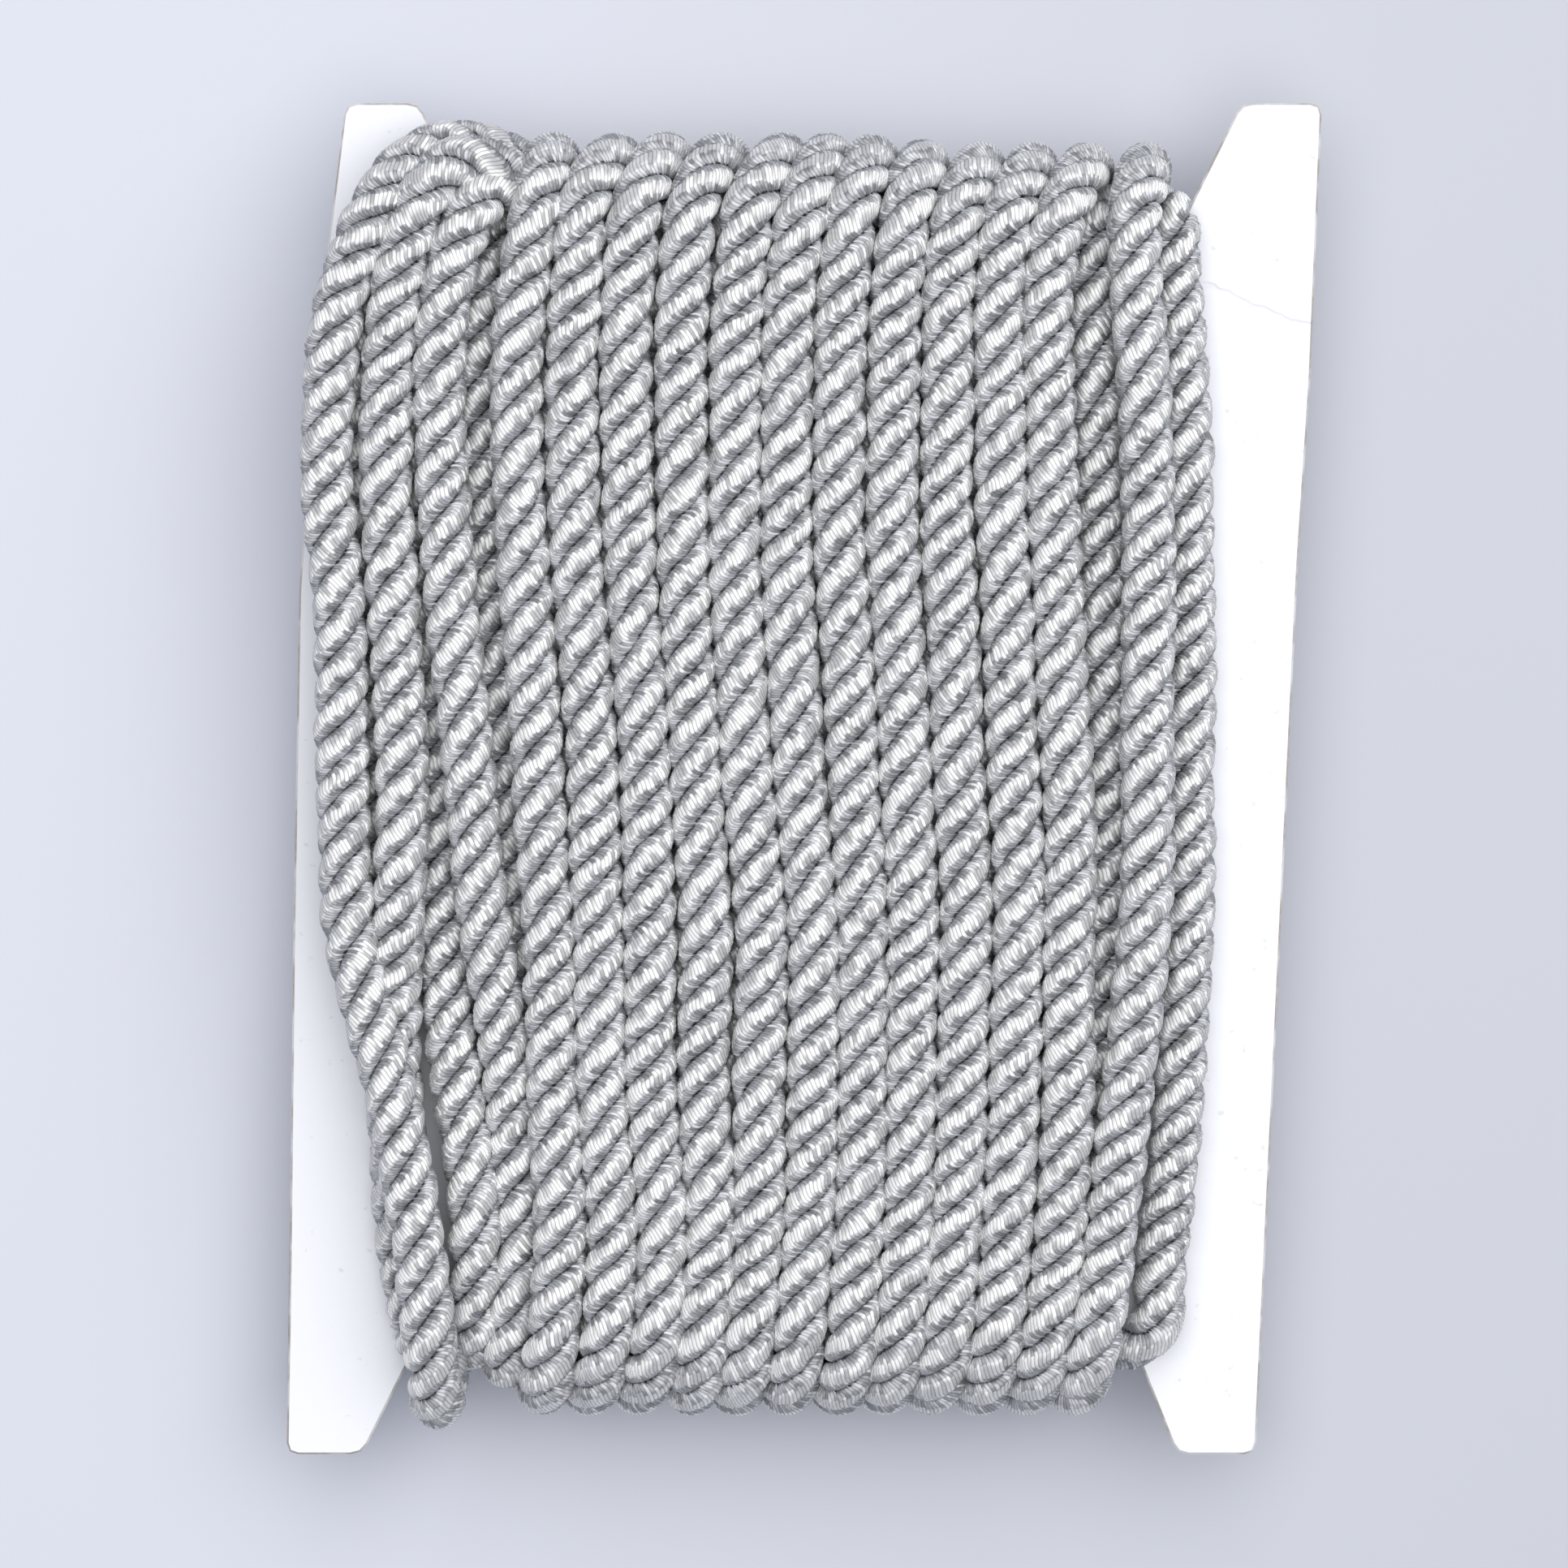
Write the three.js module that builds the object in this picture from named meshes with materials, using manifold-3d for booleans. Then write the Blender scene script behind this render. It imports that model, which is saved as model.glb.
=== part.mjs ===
import * as THREE from "three";
import { mergeVertices } from "three/addons/utils/BufferGeometryUtils.js";
import Module from "manifold-3d";

// A twisted cord trim, wound in two layers round the waist of a flat die-cut card.
// Millimetres. X runs across the card, Y up its length, Z out of its front face.
// The winding lies on its back, so the card stands half the winding's thickness up.

// Driving sizes.
const cordDiameter = 5;
const cardThickness = 1.5;
const layerRise = 4.35; // a turn of the second layer sinks between two of the first
const seatGap = 0.3; // left between the winding and the card
const turnPitch = 5;

// Worked out from them. A reach is measured from the card's middle plane, or from its edge.
const cordRadius = cordDiameter / 2;
const firstReach = cardThickness / 2 + cordRadius;
const secondReach = firstReach + layerRise;
const slotHalf = cardThickness / 2 + seatGap;
const cardLevel = secondReach + cordRadius;

// The card's waist, which the cord goes round, and the ends of the flanges beside it.
const waistTop = 51.3;
const waistBottom = -50.4;
const flangeEnd = 64.2;
const cornerRadius = 1.1;
// Each corner of the H, as x of: the outer corner, the slant's start and the waist's corner.
const flangeCorners = {
  topRight: { outer: 49.2, slant: 41.5, waist: 35.1 },
  bottomRight: { outer: 42.9, slant: 35.4, waist: 29.9 },
  bottomLeft: { outer: -49.2, slant: -42.0, waist: -35.1 },
  topLeft: { outer: -43.6, slant: -36.6, waist: -30.9 },
};
// The long edges bow in a little between their corners.
const rightEdge = [
  { y: 38, x: 48.1 },
  { y: 20, x: 46.9 },
  { y: -16, x: 45.0 },
  { y: -46, x: 43.8 },
];
const leftEdge = [
  { y: -46, x: -48.9 },
  { y: -17, x: -48.6 },
  { y: 18, x: -48.0 },
  { y: 48, x: -45.6 },
];

// The turns, right to left, as x of the centre line: over the waist's top edge, at six heights
// down the front, and under the bottom edge. A lift moves a turn off its layer's own level.
const rowHeights = [46, 31, 8, -15, -30, -45];
const flat = { top: 0, front: 0, bottom: 0, back: 0 };
const secondLayer = [
  { over: 32.9, rows: [31.4, 32.0, 32.3, 31.8, 30.1, 28.4], under: 25.5, lift: flat },
  { over: 26.8, rows: [22.9, 23.1, 24.2, 24.7, 24.7, 23.7], under: 21.1, lift: flat },
  { over: 21.7, rows: [18.4, 18.4, 19.3, 20.0, 19.6, 18.8], under: 16.6, lift: flat },
  { over: 16.8, rows: [13.5, 13.3, 14.4, 15.1, 14.6, 14.0], under: 12.0, lift: flat },
  { over: 11.5, rows: [8.7, 8.2, 9.2, 10.2, 9.8, 9.5], under: 7.5, lift: flat },
  { over: 6.6, rows: [3.8, 3.2, 4.1, 5.4, 5.4, 5.0], under: 2.9, lift: flat },
  { over: 2.2, rows: [-1.2, -1.6, -0.7, 0.7, 0.8, 0.3], under: -2.0, lift: flat },
  { over: -2.0, rows: [-6.0, -6.6, -5.6, -4.2, -4.3, -4.4], under: -6.6, lift: flat },
  { over: -7.6, rows: [-11.2, -11.7, -10.5, -9.3, -9.4, -8.9], under: -10.9, lift: flat },
  { over: -13.0, rows: [-16.4, -16.7, -15.5, -14.5, -14.2, -13.5], under: -15.9, lift: flat },
  { over: -17.8, rows: [-21.4, -21.7, -20.5, -19.4, -18.9, -18.0], under: -20.5, lift: flat },
  { over: -23.6, rows: [-26.5, -26.9, -25.4, -24.0, -23.6, -22.9], under: -24.8, lift: flat },
  {
    over: -27.1,
    rows: [-33.5, -34.1, -32.2, -29.7, -27.8, -26.7],
    under: -28.3,
    lift: { top: -3, front: 0, bottom: -3, back: -3 },
  },
  {
    over: -30.2,
    rows: [-38.1, -39.0, -38.2, -37.3, -37.9, -34.3],
    under: -34.0,
    lift: { top: -2, front: 0, bottom: -3, back: 0 },
  },
];
// Of the first layer, the turns that show between or beside those of the second, left to right.
const firstLayer = [
  { over: -31.0, rows: [-41.6, -42.4, -43.3, -43.2, -40.9, -38.4], under: -37.6, lift: flat },
  { over: -28.5, rows: [-35.7, -36.7, -35.2, -34.3, -32.4, -30.8], under: -31.7, lift: flat },
  { over: -26.3, rows: [-30.3, -30.8, -29.0, -27.4, -26.2, -25.4], under: -27.1, lift: flat },
  { over: 25.0, rows: [20.6, 20.8, 21.8, 22.4, 22.2, 21.3], under: 18.9, lift: flat },
  { over: 29.8, rows: [27.2, 27.7, 28.6, 28.4, 27.7, 26.3], under: 23.2, lift: flat },
  { over: 36.0, rows: [36.0, 36.2, 36.3, 36.1, 35.4, 33.7], under: 30.2, lift: flat },
];
const outermost = firstLayer.at(-1); // from here the cord climbs to the second layer
// The last turn lies loose on the others: it comes over the top edge under its neighbours, swings
// out to the left, runs down the front over the turns there and goes up the back again.
const looseStart = { x: -25.0, reach: 4.4 };
const looseTurn = [
  { x: -25.2, y: 57.0, z: 12.4 },
  { x: -26.6, y: 58.8, z: 14.6 },
  { x: -28.6, y: 60.0, z: 15.6 },
  { x: -31.4, y: 60.6, z: 16.2 },
  { x: -34.3, y: 60.1, z: 16.8 },
  { x: -37.0, y: 58.5, z: 17.5 },
  { x: -39.2, y: 55.6, z: 17.7 },
  { x: -41.2, y: 51.6, z: 17.7 },
  { x: -42.9, y: 47.0, z: 17.7 },
  { x: -44.7, y: 33.0, z: 17.7 },
  { x: -43.1, y: 8.0, z: 17.7 },
  { x: -42.6, y: -15.0, z: 17.7 },
  { x: -38.7, y: -30.0, z: 18.3 },
  { x: -35.7, y: -45.0, z: 19.0 },
  { x: -35.1, y: -53.4, z: 17.8 },
  { x: -34.8, y: -58.4, z: 14.0 },
  { x: -34.8, y: -59.4, z: 9.6 },
  { x: -34.6, y: -56.6, z: 5.0 },
  { x: -34.2, y: -50.4, z: 3.1 },
  { x: -33.6, y: -20, z: 2.9 },
  { x: -33.0, y: 20, z: 2.9 },
  { x: -31.6, y: 47, z: 4.6 },
];

const gridSize = 0.03;
const wasm = await Module();
wasm.setup();

// A closed three.js geometry as a solid that can be joined and cut.
function solidOf(geometry) {
  const bare = new THREE.BufferGeometry();
  const loose = geometry.index ? geometry.toNonIndexed() : geometry;
  bare.setAttribute("position", loose.getAttribute("position"));
  const merged = mergeVertices(bare, gridSize / 10);
  return new wasm.Manifold(
    new wasm.Mesh({
      numProp: 3,
      vertProperties: merged.attributes.position.array,
      triVerts: new Uint32Array(merged.index.array),
    }),
  );
}

// A solid's skin, with its corners on a fine grid, so that none lie a hair apart.
function geometryOf(solid) {
  const { vertProperties, triVerts } = solid.getMesh();
  const corners = vertProperties.map((value) => Math.round(value / gridSize) * gridSize);
  const geometry = new THREE.BufferGeometry();
  geometry.setAttribute("position", new THREE.BufferAttribute(corners, 3));
  geometry.setIndex(new THREE.BufferAttribute(triVerts, 1));
  geometry.computeVertexNormals();
  return geometry;
}

// The card's outline, grown outwards by a margin, with its free corners rounded.
function cardShape(margin) {
  const { topLeft, topRight, bottomRight, bottomLeft } = flangeCorners;
  const end = flangeEnd + margin;
  const top = waistTop + margin;
  const bottom = waistBottom - margin;
  const outline = [
    [topRight.outer + margin, end],
    ...rightEdge.map(({ x, y }) => [x + margin, y]),
    [bottomRight.outer + margin, -end],
    [bottomRight.slant - margin, -end],
    [bottomRight.waist - margin, bottom],
    [bottomLeft.waist + margin, bottom],
    [bottomLeft.slant + margin, -end],
    [bottomLeft.outer - margin, -end],
    ...leftEdge.map(({ x, y }) => [x - margin, y]),
    [topLeft.outer - margin, end],
    [topLeft.slant + margin, end],
    [topLeft.waist + margin, top],
    [topRight.waist - margin, top],
    [topRight.slant - margin, end],
  ].map(([x, y]) => new THREE.Vector2(x, y));
  const shape = new THREE.Shape();
  outline.forEach((corner, i) => {
    const before = outline.at(i - 1);
    const after = outline[(i + 1) % outline.length];
    const enter = corner.clone().lerp(before, cornerRadius / corner.distanceTo(before));
    const leave = corner.clone().lerp(after, cornerRadius / corner.distanceTo(after));
    if (i === 0) shape.moveTo(enter.x, enter.y);
    else shape.lineTo(enter.x, enter.y);
    shape.quadraticCurveTo(corner.x, corner.y, leave.x, leave.y);
  });
  shape.closePath();
  return shape;
}

function cardPlate(thickness, margin) {
  const plate = new THREE.ExtrudeGeometry(cardShape(margin), {
    depth: thickness,
    bevelEnabled: false,
    curveSegments: 2,
  });
  return plate.translate(0, 0, cardLevel - thickness / 2);
}

// A turn's route: stations in order, each with its place and the directions out and across.
class TurnRoute extends THREE.Curve {
  constructor(stations) {
    super();
    this.stations = stations;
  }
  getSpacedPoints() {
    return this.stations.map(({ place }) => place);
  }
  computeFrenetFrames() {
    return {
      tangents: this.stations.map(({ out, across }) => across.clone().cross(out)),
      normals: this.stations.map(({ across }) => across),
      binormals: this.stations.map(({ out }) => out),
    };
  }
}

const bendSteps = 3; // in a quarter of a bend
const backRows = [-30, 0, 30];
const rootReach = 0.3; // the turns are filled in to here, and the slot is then cut through them
const sideways = new THREE.Vector3(1, 0, 0);

// The station right over the waist's top edge, where a turn ends and the next one starts.
function topStation({ x, reach }) {
  const place = new THREE.Vector3(x, waistTop + reach, cardLevel);
  return { place, out: new THREE.Vector3(0, 1, 0), across: sideways };
}

// Stations of one turn, from over the top edge, down the front, under, and up the back.
function turnStations(turn, layerReach, next) {
  const { over, rows, under, lift } = turn;
  const keys = [[0, over]];
  const between = [];
  const quarter = (Math.PI / 2) * layerReach;
  const height = waistTop - waistBottom;

  const addStation = (at, angle, reach, y) => {
    const out = new THREE.Vector3(0, Math.sin(angle), Math.cos(angle));
    const place = out.clone().multiplyScalar(reach).add(new THREE.Vector3(0, y, cardLevel));
    between.push({ at, place, out, across: sideways });
  };
  const addBend = (start, edge, from, reachFrom, reachTo) => {
    for (let i = 1; i <= bendSteps; i += 1) {
      const share = i / bendSteps;
      const reach = THREE.MathUtils.lerp(reachFrom, reachTo, share);
      addStation(start + share * quarter, from - (share * Math.PI) / 2, reach, edge);
    }
  };

  const reachAt = (side) => layerReach + lift[side];
  const topReach = (reachAt("top") + reachAt("front")) / 2;
  const lowReach = (reachAt("front") + reachAt("bottom")) / 2;
  addBend(0, waistTop, Math.PI / 2, reachAt("top"), topReach);
  const frontReach = rowHeights.map(() => reachAt("front"));
  frontReach[0] = (topReach + reachAt("front")) / 2;
  frontReach.splice(-2, 2, lowReach, reachAt("bottom"));
  rowHeights.forEach((y, i) => {
    const at = quarter + waistTop - y;
    addStation(at, 0, frontReach[i], y);
    keys.push([at, rows[i]]);
  });
  const foot = quarter + height;
  addBend(foot, waistBottom, 0, reachAt("bottom"), reachAt("bottom"));
  keys.push([foot + quarter, under]);
  addBend(foot + quarter, waistBottom, -Math.PI / 2, reachAt("bottom"), reachAt("back"));
  const backStart = foot + 2 * quarter;
  for (const y of [...backRows, waistTop]) {
    const share = (y - waistBottom) / height;
    const at = backStart + share * height;
    addStation(at, Math.PI, reachAt("back"), y);
    if (y < waistTop) keys.push([at, THREE.MathUtils.lerp(under, next.x, share)]);
  }
  addBend(backStart + height, waistTop, -Math.PI, reachAt("back"), next.reach);
  const end = between.pop();
  keys.push([end.at, next.x]);

  const xAt = new THREE.CubicInterpolant(
    keys.map(([at]) => at),
    keys.map(([, x]) => x),
    1,
  );
  for (const station of between) station.place.x = xAt.evaluate(station.at)[0];
  return [topStation({ x: over, reach: reachAt("top") }), ...between, topStation(next)];
}

const shoulderWidth = 0.75; // closes the body where neighbours lie a little apart
const crestSides = 6;
const facet = Math.PI / crestSides;
const cornerReach = cordRadius / Math.cos(facet / 2);

// A turn's section: a round crest on straight sides that go down to the card.
function turnSection(depth) {
  const shape = new THREE.Shape();
  const shoulder = cordRadius + shoulderWidth;
  shape.moveTo(shoulder, -depth);
  shape.lineTo(shoulder, -cordRadius / 2);
  for (let i = -1; i <= crestSides; i += 1) {
    const angle = (i + 0.5) * facet;
    shape.lineTo(cornerReach * Math.cos(angle), cornerReach * Math.sin(angle));
  }
  shape.lineTo(-shoulder, -cordRadius / 2);
  shape.lineTo(-shoulder, -depth);
  shape.closePath();
  return shape;
}

function turnSolid(turn, layerReach, next) {
  const lowest = Math.min(next.reach, ...Object.values(turn.lift).map((l) => layerReach + l));
  const stations = turnStations(turn, layerReach, next);
  const geometry = new THREE.ExtrudeGeometry(turnSection(lowest - rootReach), {
    steps: stations.length - 1,
    extrudePath: new TurnRoute(stations),
  });
  return solidOf(geometry);
}

const looseSteps = 44;

// The loose turn is a plain round cord along its own line.
function looseTurnSolid() {
  const first = topStation(looseStart);
  const line = new THREE.CatmullRomCurve3([
    first.place,
    ...looseTurn.map(({ x, y, z }) => new THREE.Vector3(x, y, z)),
  ]);
  const stations = [first];
  for (let i = 1; i <= looseSteps; i += 1) {
    const place = line.getPointAt(i / looseSteps);
    const along = line.getTangentAt(i / looseSteps);
    const core = THREE.MathUtils.clamp(place.y, waistBottom, waistTop);
    const out = new THREE.Vector3(0, place.y - core, place.z - cardLevel);
    const across = out.cross(along).normalize();
    stations.push({ place, out: along.cross(across), across });
  }
  const section = new THREE.Shape();
  for (let i = -1; i < 2 * crestSides - 1; i += 1) {
    const angle = (i + 0.5) * facet;
    const [x, y] = [cornerReach * Math.cos(angle), cornerReach * Math.sin(angle)];
    if (i < 0) section.moveTo(x, y);
    else section.lineTo(x, y);
  }
  section.closePath();
  const route = new TurnRoute(stations);
  return solidOf(new THREE.ExtrudeGeometry(section, { steps: looseSteps, extrudePath: route }));
}

// The outer skin alone, so no pocket between turns stays sealed inside and no crumb hangs by it.
function largestBody(solid) {
  return solid.decompose().reduce((a, b) => (a.volume() > b.volume() ? a : b));
}

// The whole winding as one solid, cut clear of the card.
function windingSolid() {
  const startOf = (turn, layerReach) => ({ x: turn.over, reach: layerReach + turn.lift.top });
  const solids = firstLayer.map((turn, i) => {
    const after = firstLayer[i + 1];
    if (turn === outermost) return turnSolid(turn, firstReach, startOf(secondLayer[0], secondReach));
    if (after.over < turn.over + 2 * turnPitch) {
      return turnSolid(turn, firstReach, startOf(after, firstReach));
    }
    return turnSolid(turn, firstReach, { x: turn.over + turnPitch, reach: firstReach });
  });
  secondLayer.forEach((turn, i) => {
    const after = secondLayer[i + 1];
    const next = after ? startOf(after, secondReach) : looseStart;
    solids.push(turnSolid(turn, secondReach, next));
  });
  solids.push(looseTurnSolid());
  const wound = solids.reduce((all, solid) => all.add(solid));
  const cleared = wound.subtract(solidOf(cardPlate(2 * slotHalf, seatGap)));
  const skin = largestBody(cleared);
  return largestBody(solidOf(geometryOf(skin)));
}

function cardMesh() {
  const board = new THREE.MeshStandardMaterial({ color: 0xf4f5f8, roughness: 0.75 });
  const mesh = new THREE.Mesh(cardPlate(cardThickness, 0), board);
  mesh.name = "card";
  return mesh;
}

function windingMesh() {
  const satin = new THREE.MeshStandardMaterial({ color: 0xa9abaf, roughness: 0.35 });
  const mesh = new THREE.Mesh(geometryOf(windingSolid()), satin);
  mesh.name = "wound_cord";
  return mesh;
}

const trim = new THREE.Group();
trim.add(cardMesh(), windingMesh());

export default trim;
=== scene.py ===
import math

import bmesh
import bpy
import numpy as np
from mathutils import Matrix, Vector


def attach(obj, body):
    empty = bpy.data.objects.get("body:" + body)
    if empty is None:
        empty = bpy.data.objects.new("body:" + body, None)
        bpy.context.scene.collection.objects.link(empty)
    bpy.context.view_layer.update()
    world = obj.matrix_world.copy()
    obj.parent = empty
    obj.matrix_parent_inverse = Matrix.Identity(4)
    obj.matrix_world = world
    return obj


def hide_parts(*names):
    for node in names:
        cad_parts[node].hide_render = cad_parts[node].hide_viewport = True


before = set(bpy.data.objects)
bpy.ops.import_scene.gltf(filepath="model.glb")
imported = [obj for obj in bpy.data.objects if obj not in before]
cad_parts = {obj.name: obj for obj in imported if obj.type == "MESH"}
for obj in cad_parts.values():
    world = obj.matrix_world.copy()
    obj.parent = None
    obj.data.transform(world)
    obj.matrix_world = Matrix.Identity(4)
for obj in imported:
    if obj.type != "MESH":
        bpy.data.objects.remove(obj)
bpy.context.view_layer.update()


# The card: an H of 1.5 mm white-lined greyboard, die-cut, that the trim is wound on.
# Its face is smooth coated paper with a few specks, and the cut edge shows the rough grey core.
# It has the CAD solid's outline with its rims broken, and is held by the winding round its waist.
MM = 0.001
CARD_FACE = "E9EAEF"
CARD_SPECK_AND_CREASE_SHADE = "D9DADC"
CARD_CORE = "8F8781"
CARD_PULP = "C9C3BC"


def linear(hex_colour):
    """An sRGB hex colour as the linear RGBA that the shaders take."""
    channels = [int(hex_colour[i:i + 2], 16) / 255 for i in (0, 2, 4)]
    return [c / 12.92 if c <= 0.04045 else ((c + 0.055) / 1.055) ** 2.4 for c in channels] + [1.0]


def node(tree, kind, inputs=(), **settings):
    """Adds one shader node with its settings. Its inputs are given by name or in order.
    Each gets a value, or the node or socket that feeds it."""
    made = tree.nodes.new("ShaderNode" + kind)
    for key, value in settings.items():
        setattr(made, key, value)
    for key, value in inputs.items() if isinstance(inputs, dict) else enumerate(inputs):
        if isinstance(value, bpy.types.Node):
            value = value.outputs[0]
        if isinstance(value, bpy.types.NodeSocket):
            tree.links.new(value, made.inputs[key])
        else:
            made.inputs[key].default_value = value
    return made


def new_material(name):
    """An empty node material, with its tree and output node."""
    material = bpy.data.materials.new(name)
    material.use_nodes = True
    tree = material.node_tree
    tree.nodes.clear()
    return material, tree, tree.nodes.new("ShaderNodeOutputMaterial")


# White-lined greyboard, coated and calendered: matt white face, pulpy grey-brown cut edge.
# It has been bent once across the right flange, which leaves a crease.
SPECK_SPACING = 1.111 * MM
SPECK_FROM, SPECK_FULL = 0.68, 0.76  # the noise levels where a speck starts and where it is full
PULP_GRAIN = 0.625 * MM
BLOTCH_SIZE = 3.846 * MM
TORN_FROM, TORN_FULL = 0.42, 0.62  # the noise levels where white paper is dragged over the cut edge
TORN_SHARE = 0.6
CREASE_RUN = 0.423  # how much it drops for each step to the right
CREASE_HEIGHT = 63.18 * MM  # where its line would cross x = 0
CREASE_START = 37.0 * MM
CREASE_FADE = 2.0 * MM
CREASE_WANDER = 2.4 * MM
CREASE_CORE, CREASE_WIDTH = 0.05 * MM, 0.35 * MM  # from its line to where it is full, and to its end
CREASE_SHADE = 0.45
RELIEF = 0.1 * MM
CREASE_RELIEF, PULP_RELIEF = -2.0, 0.3  # as shares of the relief
LEVEL_FACE = 0.95  # past this upward share of its normal, a face is one of the flat ones
SMOOTH = {"interpolation_type": "SMOOTHSTEP"}
COLOURS = {"data_type": "RGBA"}

board, tree, output = new_material("white_lined_board")
place = node(tree, "TexCoord").outputs["Object"]
split = node(tree, "SeparateXYZ", (place,))
facing = node(tree, "NewGeometry").outputs["True Normal"]
upward = node(tree, "SeparateXYZ", (facing,)).outputs["Z"]
levelness = node(tree, "Math", (upward,), operation="ABSOLUTE")
is_face = node(tree, "Math", (levelness, LEVEL_FACE), operation="GREATER_THAN")
specks = node(tree, "TexNoise", {"Vector": place, "Scale": 1 / SPECK_SPACING, "Detail": 2.0})
speck = node(tree, "MapRange", (specks, SPECK_FROM, SPECK_FULL), **SMOOTH)
specked = node(tree, "Mix", {0: speck, 6: linear(CARD_FACE), 7: linear(CARD_SPECK_AND_CREASE_SHADE)}, **COLOURS)

# The crease's line, down to the right and a little wavy, fading in from the winding's edge.
blotches = node(tree, "TexNoise", {"Vector": place, "Scale": 1 / BLOTCH_SIZE, "Detail": 3.0})
slope = (split.outputs["X"], CREASE_RUN, split.outputs["Y"])
straight_line = node(tree, "Math", slope, operation="MULTIPLY_ADD")
wavy_line = node(tree, "Math", (blotches, CREASE_WANDER, straight_line), operation="MULTIPLY_ADD")
line_height = CREASE_HEIGHT + CREASE_WANDER / 2
off_crease = node(tree, "Math", (wavy_line, line_height), operation="SUBTRACT")
crease_distance = node(tree, "Math", (off_crease,), operation="ABSOLUTE")
crease = node(tree, "MapRange", (crease_distance, CREASE_CORE, CREASE_WIDTH, 1.0, 0.0), **SMOOTH)
fade = (split.outputs["X"], CREASE_START, CREASE_START + CREASE_FADE)
on_flange = node(tree, "MapRange", fade, **SMOOTH)
crease = node(tree, "Math", (crease, on_flange), operation="MULTIPLY")
# Painted shade along the crease: a grey line in the speck colour. Its dent is in the bump.
crease_shade = node(tree, "Math", (crease, CREASE_SHADE), operation="MULTIPLY")
crease_shaded = {0: crease_shade, 6: specked.outputs[2], 7: linear(CARD_SPECK_AND_CREASE_SHADE)}
face_colour = node(tree, "Mix", crease_shaded, **COLOURS).outputs[2]

# The cut edge: grey-brown pulp, with the white paper dragged over it in patches.
pulp = node(tree, "TexNoise", {"Vector": place, "Scale": 1 / PULP_GRAIN, "Detail": 4.0})
pulpy = node(tree, "Mix", {0: pulp, 6: linear(CARD_CORE), 7: linear(CARD_PULP)}, **COLOURS)
torn = node(tree, "MapRange", (blotches, TORN_FROM, TORN_FULL, 0.0, TORN_SHARE), **SMOOTH)
torn_over = {0: torn, 6: pulpy.outputs[2], 7: linear(CARD_FACE)}
edge_colour = node(tree, "Mix", torn_over, **COLOURS).outputs[2]
pulp_relief = node(tree, "Math", (pulp, PULP_RELIEF), operation="MULTIPLY")
relief = node(tree, "Math", (crease, CREASE_RELIEF, pulp_relief), operation="MULTIPLY_ADD")
board_colour = node(tree, "Mix", {0: is_face, 6: edge_colour, 7: face_colour}, **COLOURS)
board_finish = {
    "Base Color": board_colour.outputs[2],
    "Roughness": 0.62,
    "Normal": node(tree, "Bump", {"Strength": 0.5, "Distance": RELIEF, "Height": relief}),
}
board_shader = node(tree, "BsdfPrincipled", board_finish)
tree.links.new(board_shader.outputs[0], output.inputs[0])

# The same outline as the CAD card, with its rims broken as a cutting rule leaves them.
RIM = 0.2 * MM
WELD = 0.001 * MM  # CAD corners nearer than this are one
FLAT_ANGLE = 0.01  # in radians, as the next: CAD triangles that turn less than this are one face
CORNER_ANGLE = 1.0  # edges that turn more than this are the board's own
LEVEL_EDGE = 0.1 * MM  # a rim's ends differ less than this in height

card_mesh = bpy.data.meshes.new("die_cut_card")
bm = bmesh.new()
bm.from_mesh(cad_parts["card"].data)
bmesh.ops.remove_doubles(bm, verts=bm.verts, dist=WELD)
bmesh.ops.dissolve_limit(bm, angle_limit=FLAT_ANGLE, verts=bm.verts, edges=bm.edges)
rims = [edge for edge in bm.edges if edge.calc_face_angle(0) > CORNER_ANGLE]
rims = [edge for edge in rims if abs(edge.verts[0].co.z - edge.verts[1].co.z) < LEVEL_EDGE]
bmesh.ops.bevel(
    bm, geom=rims, offset=RIM, affect="EDGES", segments=1, profile=0.5, material=-1
)
bm.to_mesh(card_mesh)
bm.free()
card = bpy.data.objects.new("die_cut_card", card_mesh)
bpy.context.scene.collection.objects.link(card)
card_mesh.materials.append(board)
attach(card, "root")
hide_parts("card")


# The cord: three plies of satin gimp laid up right-handed, 5 mm across, about 7 m in one length.
# Each ply is a soft core wrapped side by side in fine viscose threads.
# It is wound by hand round the card's waist in two layers, with nothing else to hold it.
CARD_LEVEL = 10.1  # the middle of the card above the table, in mm, as all the cord's lengths
CORD_RADIUS = 2.6
LAY = 10.7  # how far along the cord a ply goes once round
WAIST_TOP = 51.3  # the card's two edges that the cord bends over
WAIST_BOTTOM = -50.4
FIRST_REACH = 3.25  # from the card's middle to the middle of each layer's cord
SECOND_REACH = 7.6
# Heights at which each turn's centre line is given, down the front.
HEIGHTS = [53.9, 46.3, 31.1, 15.9, 0.7, -14.5, -29.7, -44.9, -52.5]
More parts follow.
